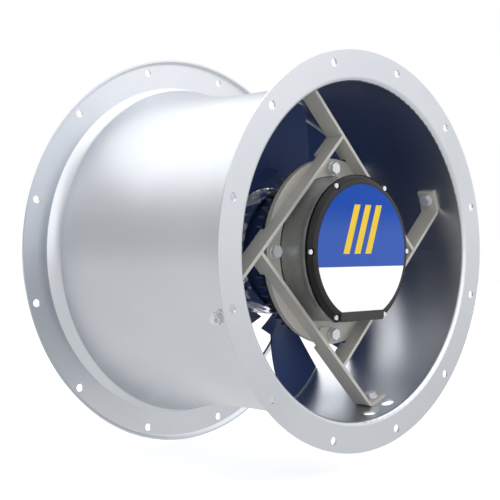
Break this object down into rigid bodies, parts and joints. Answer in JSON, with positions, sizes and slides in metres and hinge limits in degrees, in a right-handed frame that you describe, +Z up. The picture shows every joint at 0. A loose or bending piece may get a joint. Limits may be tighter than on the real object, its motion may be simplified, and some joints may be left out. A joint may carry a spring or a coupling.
{
  "type": "axial duct fan",
  "caption": "Axial fan in a flanged, flared duct casing: external-rotor motor on pinwheel struts, electronics housing on the outlet side, bladed impeller behind.",
  "frame": {"origin": "centre of the outlet flange's face", "axes": "+Y along the fan's axis from the outlet flange towards the inlet flange, +Z up, +X to the right when the outlet is looked at"},
  "size_m": [0.6399, 0.403, 0.64],
  "materials": {
    "casing_paint": "glossy pale grey paint on sheet steel",
    "strut_paint": "satin warm grey paint on flat bar",
    "zinc_steel": "bright zinc plating",
    "housing_grey": "glossy dark grey paint on a casting",
    "gasket_rubber": "matt grey rubber",
    "cover_black": "black plastic with a soft gloss",
    "terminal_grey": "dark grey plastic",
    "label_blue": "printed film, blue over white",
    "board_green": "glass-fibre board with green lacquer",
    "aluminium_plain": "cast, with a shot-blasted skin",
    "iron_dark": "dark grey iron",
    "copper_wire": "wound enamelled wire",
    "bearing_steel": "ground steel",
    "hub_metal": "turned and polished",
    "blade_navy": "satin navy blue paint"
  },
  "bodies": {
    "casing": {"casing_tube": "casing_paint", "inlet_flange_ring": "casing_paint", "strut_upper_right": "strut_paint", "strut_upper_left": "strut_paint", "strut_lower_left": "strut_paint", "strut_lower_right": "strut_paint", "mounting_plate": "strut_paint", "foot_bolts": "zinc_steel", "foot_washers": "zinc_steel", "foot_nuts": "zinc_steel", "plate_bolts": "zinc_steel", "plate_washers": "zinc_steel", "electronics_housing": "housing_grey", "cover_gasket": "gasket_rubber", "electronics_cover": "cover_black", "cover_screws": "zinc_steel", "cover_label": "label_blue", "terminal_cover": "terminal_grey", "circuit_board": "board_green", "board_standoffs": "aluminium_plain", "capacitors": "aluminium_plain", "stator_flange": "aluminium_plain", "stator_core": "iron_dark", "stator_coils": "copper_wire", "front_bearing": "bearing_steel", "back_bearing": "bearing_steel"},
    "impeller": {"rotor_shaft": "bearing_steel", "retaining_ring": "bearing_steel", "rotor_bell": "iron_dark", "rotor_magnets": "iron_dark", "impeller_hub": "hub_metal", "hub_screws": "zinc_steel", "blade_screws": "zinc_steel", "blade_1": "blade_navy", "blade_2": "blade_navy", "blade_3": "blade_navy", "blade_4": "blade_navy", "blade_5": "blade_navy", "blade_6": "blade_navy", "blade_7": "blade_navy", "blade_8": "blade_navy", "blade_9": "blade_navy"}
  },
  "joints": [
    {"name": "impeller_spin", "type": "hinge", "parent": "casing", "child": "impeller", "pos_m": [0, 0.2, 0], "axis": [0, 1, 0], "continuous": true}
  ]
}
